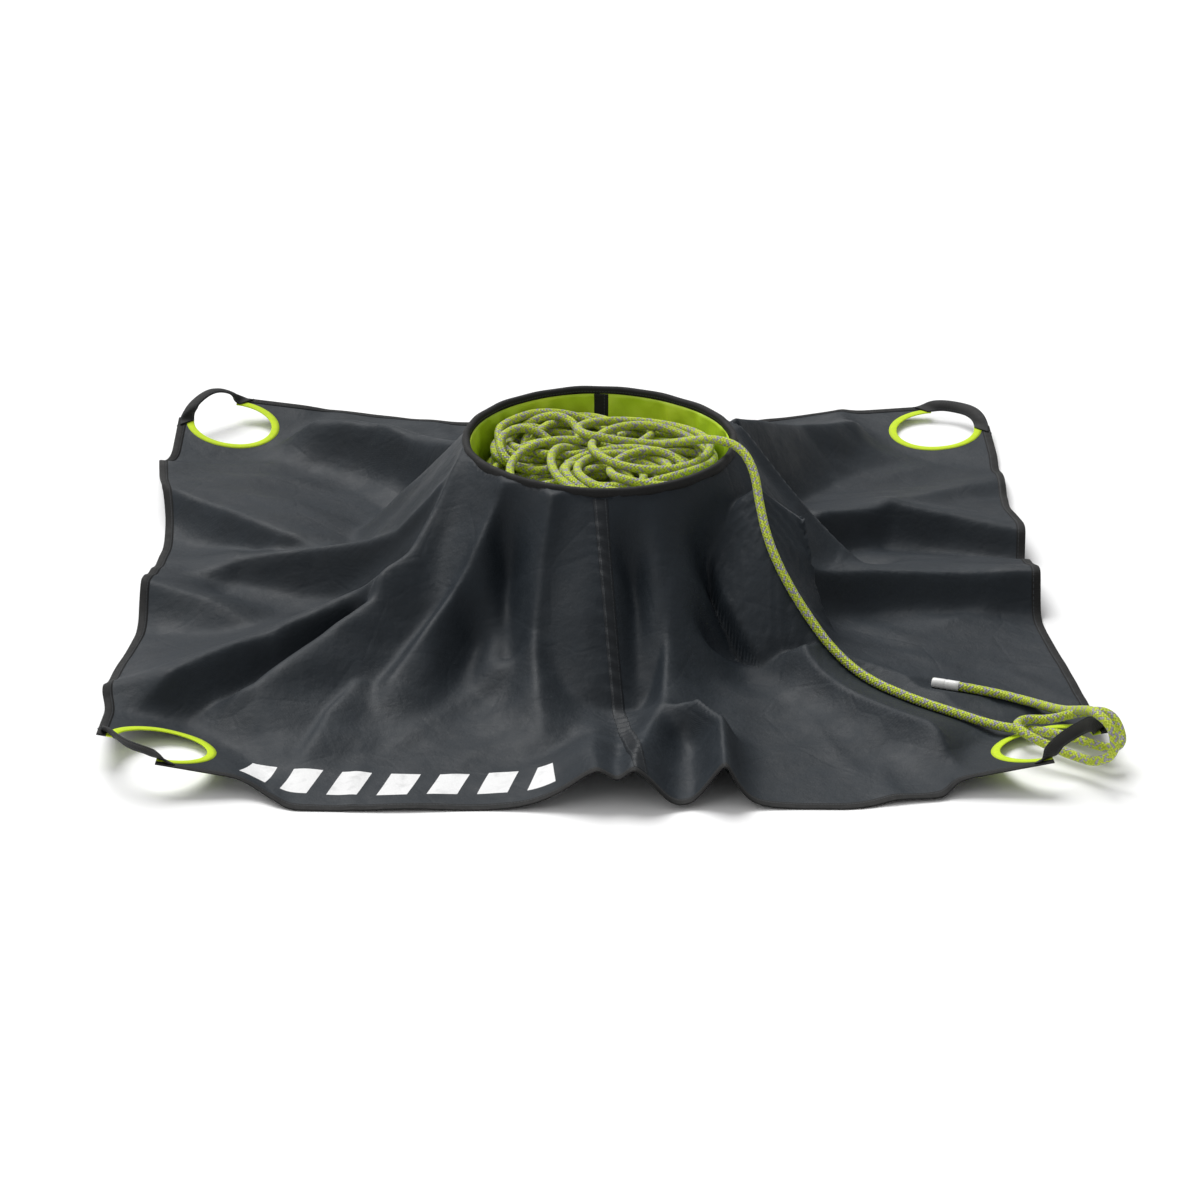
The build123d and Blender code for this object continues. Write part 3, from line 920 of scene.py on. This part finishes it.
FLAT_STRIP = [(0.0, 0.5), (0.04, 1.0), (0.3, 1.25), (0.5, 1.1), (0.7, 1.25), (0.96, 1.0), (1.0, 0.5),
              (0.5, 0.45)]


def seam_strips():
    """The stitched strips over the join of the panels, front and back."""
    made = []
    for side, way in (("front", -1), ("back", 1)):
        side_x = -way * SEAM_W / 2
        path = straight((side_x, way * (HOLE_R + 0.004)), (side_x, way * (HALF - HEM_W)))
        inward = np.tile((way, 0), (len(path), 1))
        piece = tape_on_cloth("seam_strip_" + side, path, inward, SEAM_W, FLAT_STRIP, "seam")
        made.append(stands_for(piece, "seam_tape_" + side))
    return made


hem_pieces = hems()
cutout_bindings()
seam_pieces = seam_strips()


# ---- handle straps
STRAP_BASE = 0.0042      # a flat strap's underside over the flap's underside
STRAP_T = 0.0019
CHORD_PAST = FLAP_L - (CORNER_R * sqrt(2) - CUTOUT_R / sqrt(2))


def off_flap(name, out, side, up):
    """Points given from the middle of a strap's root line (outwards, along it, up), on the lifted flap."""
    corner, way_out, way_along = corner_frame(name)
    lift = radians(CORNERS[name][2])
    past = CHORD_PAST + out
    high = STRAP_BASE + up
    reach = past * cos(lift) - high * sin(lift) - FLAP_L
    plan = corner + reach[..., None] * way_out + side[..., None] * way_along
    return np.concatenate([plan, (past * sin(lift) + high * cos(lift))[..., None]], -1)


ROOT_LAP = 0.0035        # a strap's end, past its root line, on the flap
ROOT_BEND = 0.014        # over which a strap bends up from the flap
STRAP_ROLL = {"front_left": 28.0, "front_right": 38.0, "back_right": 24.0, "back_left": -58.0}


def straps():
    """Handle straps: webbing cupped across, carried round from one end of its root line to the other,
    rolled on its own line between its roots, and bent up off the flap from the root line outwards. The
    front right one has the rope hitched round it and is hung on the ground; the others are baked in place and
    hung on no body."""
    share = np.array([-1.0, -0.95, -0.6, 0.0, 0.6, 0.95, 1.0, 0.95, 0.6, 0.0, -0.6, -0.95])
    lift = np.array([0.5, 0.95, 1.0, 1.0, 1.0, 0.95, 0.5, 0.05, 0.0, 0.0, 0.0, 0.05])
    mid_r = CORNER_R - STRAP_W / 2
    root = CUTOUT_R / sqrt(2)
    last = np.arccos((root - ROOT_LAP) / (mid_r + share * STRAP_W / 2))
    angle = np.linspace(-1, 1, 80)[:, None] * last
    free = smooth_step((last - np.abs(angle)) / radians(24))
    for name in CORNERS:
        cup = 0.0035 * free * (1 - share ** 2)
        wide = share * STRAP_W / 2 * (1 - 0.12 * free)
        up = lift * STRAP_T + cup + 0.0012 * np.sin(angle * 6.0 + len(name)) * free
        roll = np.radians(STRAP_ROLL[name]) * free
        far = mid_r + wide * np.cos(roll) - up * np.sin(roll)
        up = wide * np.sin(roll) + up * np.cos(roll) + 0.002 * free
        out = np.cos(angle) * far - root
        side = np.sin(angle) * far
        steep = radians(STRAP_TILT[name])
        tip = steep * smooth_step((out + 0.001) / ROOT_BEND)
        outwards = out * np.cos(tip) - up * np.sin(tip)
        points = off_flap(name, outwards, side, out * np.sin(tip) + up * np.cos(tip))
        along = angle[:, 3] * mid_r + 0.2
        piece = tube_piece("strap_" + name, points, along, (share + 1) * STRAP_W / 2, "strap")
        held = name == "front_right"
        if not held:
            ends = off_flap(name, np.array([0.0, ROOT_BEND * cos(steep)]), np.zeros(2),
                            np.array([0.0, ROOT_BEND * sin(steep)]))
            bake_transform(piece)
        stands_for(piece, "handle_strap_" + name, "ground" if held else None)


straps()


# ---- mouth and bag
MOUTH_SECTION = [(-0.0050, -0.0066), (-0.0056, -0.0020), (-0.0053, 0.0020), (-0.0034, 0.0046),
                 (0.0, 0.0053), (0.0028, 0.0044), (0.0044, 0.0016), (0.0050, -0.0020), (0.0052, -0.0064),
                 (0.0040, -0.0068), (0.0, -0.0050), (-0.0036, -0.0070)]


def mouth_binding():
    """The tape folded over the hoop: its section (outwards, up) follows the mouth's edge all round."""
    theta = np.linspace(0, 2 * pi, 240, endpoint=False)
    out, up = np.array(MOUTH_SECTION).T
    wave = 0.0004 * np.sin(19 * theta) + 0.0003 * np.sin(11 * theta + 1.0)
    r = MOUTH_R + out[None, :] + wave[:, None]
    z = rim_height(theta)[:, None] + up[None, :] + 0.4 * wave[:, None]
    around = np.concatenate([[0], np.cumsum(np.hypot(np.diff(out), np.diff(up)))])
    points = round_axis(r, theta[:, None], z)
    piece = tube_piece("mouth_tape", points, theta * MOUTH_R, around, "mouth", False, True)
    stands_for(piece, "mouth_binding", "mouth")


mouth_binding()


BASE_TOP = 0.0035        # the lining's foot, on the base
RIM_TUCK = 0.004         # from the mouth's edge down to the lining's top
LINING_LEAST_R = 0.1670
WALL_TAPE_HALF = 0.0105


def wall_radius(theta, share):
    """The lining's radius: the bag's round with upright folds, slack sags and gathers under the mouth."""
    slack = np.sin(pi * np.clip(share, 0, 1)) ** 0.7
    folds = (0.0026 * np.sin(7 * theta + 2.2 * np.sin(3 * share))
             + 0.0030 * np.sin(13 * theta + 3.5 * share + 1.0) + 0.0016 * np.sin(29 * theta - 6.0 * share))
    sag = 0.0022 * np.sin(17.0 * share + 3.0 * np.sin(3 * theta))
    near_top = smooth_step((share - 0.62) / 0.25) * smooth_step((1.0 - share) / 0.06)
    gather = near_top * (0.0015 * np.sin(23 * theta + 9 * share) + 0.0011 * np.sin(37 * theta - 14 * share))
    r = WALL_R - 0.0030 * slack + slack * (folds + sag) + gather
    return np.clip(r, LINING_LEAST_R, WALL_R + 0.0016)


def lining():
    """The bag's wall: a round shell lofted from the base to the mouth, radius as wall_radius says."""
    theta = np.linspace(0, 2 * pi, 220, endpoint=False)
    share = np.linspace(0, 1, 46)
    top = rim_height(theta)
    r = wall_radius(theta[:, None], share[None, :])
    z = BASE_TOP + share[None, :] * (top - BASE_TOP - RIM_TUCK)[:, None]
    points = round_axis(r, theta[:, None], z)
    faces, row, col = grid_faces(len(theta), len(share), True, False)
    uv = np.stack([row * (2 * pi * WALL_R / len(theta)), col * (0.21 / 45)], -1)
    piece = make_mesh("bag_lining", points, faces, "lining", uv)
    thicken(piece, LINING_T, -1.0)
    return stands_for(piece, "bag_wall")


bag_lining = lining()


def wall_tape():
    """The dark tape over the wall's upright seam: a strip that follows the lining inside the back."""
    share = np.linspace(0.08, 1.0, 60)
    middle = pi / 2 - 0.01
    section = [(-1.0, 0.0), (-0.9, 1.0), (0.0, 1.2), (0.9, 1.0), (1.0, 0.0), (0.0, -0.1)]
    across = np.array([s[0] for s in section]) * WALL_TAPE_HALF
    up = np.array([s[1] for s in section]) * 0.0011
    theta = middle + across[None, :] / WALL_R
    r = wall_radius(theta, share[:, None]) - 0.0004 - up[None, :]
    z = BASE_TOP + share[:, None] * (rim_height(theta) - BASE_TOP - RIM_TUCK)
    points = round_axis(r, theta, z)
    piece = tube_piece("wall_seam_strip", points, share * 0.2, across + WALL_TAPE_HALF, "mouth")
    return stands_for(piece, "wall_seam_tape")


wall_strip = wall_tape()


# ---- rope in the bag
HEAP_START = 48.0        # the loops' length before they settle
HEAP_STEP = 0.0110
HEAP_R = 0.1665
HEAP_LOW = 0.0105        # the lowest that the rope's centre may lie
HEAP_SEED = 11
SETTLE_STEPS = 160


def slow_noise(count, knots, rng):
    """Smooth random values from -1 to 1 along the rope."""
    values = np.interp(np.linspace(0, knots - 1, count), np.arange(knots), rng.uniform(-1, 1, knots))
    return np.convolve(np.pad(values, 10, mode="edge"), np.ones(21) / 21, "valid")


def loose_loops(count, rng):
    """Loops that rise through the bag: each circles a centre that wanders as far out as it has room."""
    loop_r = 0.072 + 0.040 * slow_noise(count, 190, rng)
    turn = np.cumsum(HEAP_STEP / loop_r)
    heading = np.cumsum(rng.normal(0, 0.05, count)) + np.arange(count) * HEAP_STEP * 0.9
    room = HEAP_R - ROPE_D / 2 - loop_r - 0.004
    x = room * np.cos(heading) + loop_r * np.cos(turn)
    y = room * np.sin(heading) + loop_r * np.sin(turn)
    tilt = 0.014 * slow_noise(count, 150, rng)
    z = np.linspace(0.012, 0.200, count) + tilt * np.sin(turn + 3 * slow_noise(count, 60, rng))
    return np.stack([x, y, z], 1)


def close_pairs(points, reach):
    """Pairs of points nearer than reach, more than two steps apart along the rope, by cells in a grid."""
    cell = np.floor((points - points.min(0)) / reach).astype(np.int64) + 1
    size = cell.max(0) + 2
    key = (cell[:, 0] * size[1] + cell[:, 1]) * size[2] + cell[:, 2]
    order = np.argsort(key, kind="stable")
    sorted_key = key[order]
    first, second = [], []
    for dx in (-1, 0, 1):
        for dy in (-1, 0, 1):
            for dz in (-1, 0, 1):
                other = key + (dx * size[1] + dy) * size[2] + dz
                low = np.searchsorted(sorted_key, other, "left")
                high = np.searchsorted(sorted_key, other, "right")
                for k in range(int((high - low).max())):
                    mask = low + k < high
                    first.append(np.nonzero(mask)[0])
                    second.append(order[(low + k)[mask]])
    first, second = np.concatenate(first), np.concatenate(second)
    keep = second > first + 2
    first, second = first[keep], second[keep]
    near = np.linalg.norm(points[first] - points[second], axis=1) < reach
    return first[near], second[near]


def heap_top(points):
    """The highest that the rope's centre may lie: a low crown, with room under the mouth."""
    rho2 = (points[:, 0] ** 2 + points[:, 1] ** 2) / HEAP_R ** 2
    return 0.2095 - 0.013 * rho2 + 0.012 * points[:, 1]


def keep_length(points):
    """Brings neighbours along the rope back to their step, evens first."""
    for off in (0, 1):
        near, far = points[off:-1:2], points[off + 1::2]
        near = near[:len(far)]
        gap = far - near
        length = np.linalg.norm(gap, axis=1, keepdims=True) + 1e-9
        move = gap * (0.5 * (length - HEAP_STEP) / length)
        near += move
        far -= move


def push_apart(points, first, second):
    """Moves overlapping turns apart along the line between them, by their mean overlap."""
    gap = points[second] - points[first]
    far = np.linalg.norm(gap, axis=1) + 1e-9
    over = np.clip(ROPE_D * 1.02 - far, 0, None)
    hit = over > 0
    i, j = first[hit], second[hit]
    push = gap[hit] * (over[hit] / far[hit])[:, None]
    size = len(points)
    count = np.bincount(i, minlength=size) + np.bincount(j, minlength=size)
    total = np.stack([np.bincount(j, part, size) - np.bincount(i, part, size) for part in push.T], 1)
    points += total * (0.9 / np.maximum(count, 1))[:, None]


def settle_rope(points, steps):
    """Packs the loops into the bag: length, stiffness, room for the rope's thickness, bag and top."""
    way = tail_line[1] - tail_line[0]
    way = way / np.linalg.norm(way)
    tied = tail_line[0] - way * HEAP_STEP * np.arange(3)[::-1, None]
    wall = HEAP_R - ROPE_D / 2
    for step in range(steps):
        if step % 3 == 0:
            first, second = close_pairs(points, ROPE_D * 1.5)
        for _ in range(4):
            keep_length(points)
            for reach, share in ((1, 0.12), (2, 0.10)):
                bend = points[:-2 * reach] - 2 * points[reach:-reach] + points[2 * reach:]
                points[reach:-reach] += share * bend
                points[:-2 * reach] -= share * 0.5 * bend
                points[2 * reach:] -= share * 0.5 * bend
            push_apart(points, first, second)
            rho = np.linalg.norm(points[:, :2], axis=1)
            points[:, :2] *= np.minimum(1, wall / np.maximum(rho, 1e-9))[:, None]
            points[:, 2] = np.clip(points[:, 2], HEAP_LOW, np.maximum(heap_top(points), HEAP_LOW))
            points[-3:] = tied
        points[:, 2] -= 0.00004 * (step < 0.7 * steps)
    return points


first_loops = loose_loops(int(HEAP_START / HEAP_STEP), np.random.default_rng(HEAP_SEED))
heap_line = settle_rope(first_loops, SETTLE_STEPS)[::-1]
heap = stands_for(rope_tube("rope_heap_line", heap_line, 10), "rope_heap", "ground")


# ---- sleeve on the rope's end
def end_sleeve():
    """A shrunk sleeve in two bands over the rope's tip, with rolled edges and a closed end."""
    tip, back = tail_line[-1], tail_line[-16]
    way = (tip - back) / np.linalg.norm(tip - back)
    s = np.array([-0.0355, -0.0355, -0.0350, -0.0300, -0.0205, -0.0190, -0.0185, -0.0170, -0.0165, -0.0140,
                  -0.0050, -0.0010, 0.0003, 0.0006, 0.0006])
    r = np.array([0.0, 0.0062, 0.0066, 0.0065, 0.0066, 0.0065, 0.0063, 0.0063, 0.0065, 0.0066,
                  0.0065, 0.0063, 0.0056, 0.0030, 0.0])
    angle = np.linspace(0, 2 * pi, 28, endpoint=False)
    side = np.cross(way, [0, 0, 1.0])
    side /= np.linalg.norm(side)
    up = np.cross(side, way)
    ring = side * np.cos(angle)[:, None] + up * np.sin(angle)[:, None]
    points = tip + way * s[:, None, None] + ring[None] * r[:, None, None]
    piece = tube_piece("rope_tip_sleeve", points, s + 0.04, angle / 6.28, "sleeve", False)
    return stands_for(piece, "rope_end_sleeve", "ground")


tip_sleeve = end_sleeve()

# ---- CAD pieces that stay
for node, finish in (("bag_base", "lining"), ("base_seam_binding", "mouth"), ("mouth_hoop", "wire"),
                     ("hoop_sleeve", "crimp")):
    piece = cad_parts[node]
    for slot in piece.material_slots:
        slot.material = FINISH[finish]

# ---- pieces with their placing baked into their points
for piece in [left_panel, right_panel, bag_lining, wall_strip] + seam_pieces:
    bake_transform(piece)


# ---- floor and light
def stage_floor():
    """A wide pale floor."""
    points = np.array([(-30, -30, 0), (30, -30, 0), (30, 30, 0), (-30, 30, 0)], float)
    shade = Shade("floor", Roughness=0.9)
    shade.main.inputs["Base Color"].default_value = grey(0.94)
    FINISH["floor"] = shade.material
    floor = make_mesh("studio_floor", points, np.array([[0, 1, 2, 3]]), "floor")


def sun(name, place, spread, strength):
    """A broad soft light that shines evenly from one way."""
    data = bpy.data.lights.new(name, "SUN")
    data.angle = radians(spread)
    data.energy = strength
    light = bpy.data.objects.new(name, data)
    bpy.context.scene.collection.objects.link(light)
    light.rotation_euler = (-Vector(place)).to_track_quat("-Z", "Y").to_euler()


def studio_world(strength):
    """An even white sky."""
    world = bpy.data.worlds.new("studio")
    world.use_nodes = True
    sky = world.node_tree.nodes["Background"].inputs
    sky["Color"].default_value = (1, 1, 1, 1)
    sky["Strength"].default_value = strength
    bpy.context.scene.world = world


stage_floor()
sun("key", (-0.35, 0.75, 1.15), 38, 2.9)
sun("fill", (-1.2, -0.5, 1.3), 60, 0.55)
studio_world(0.36)
bpy.context.scene.view_settings.view_transform = "Standard"
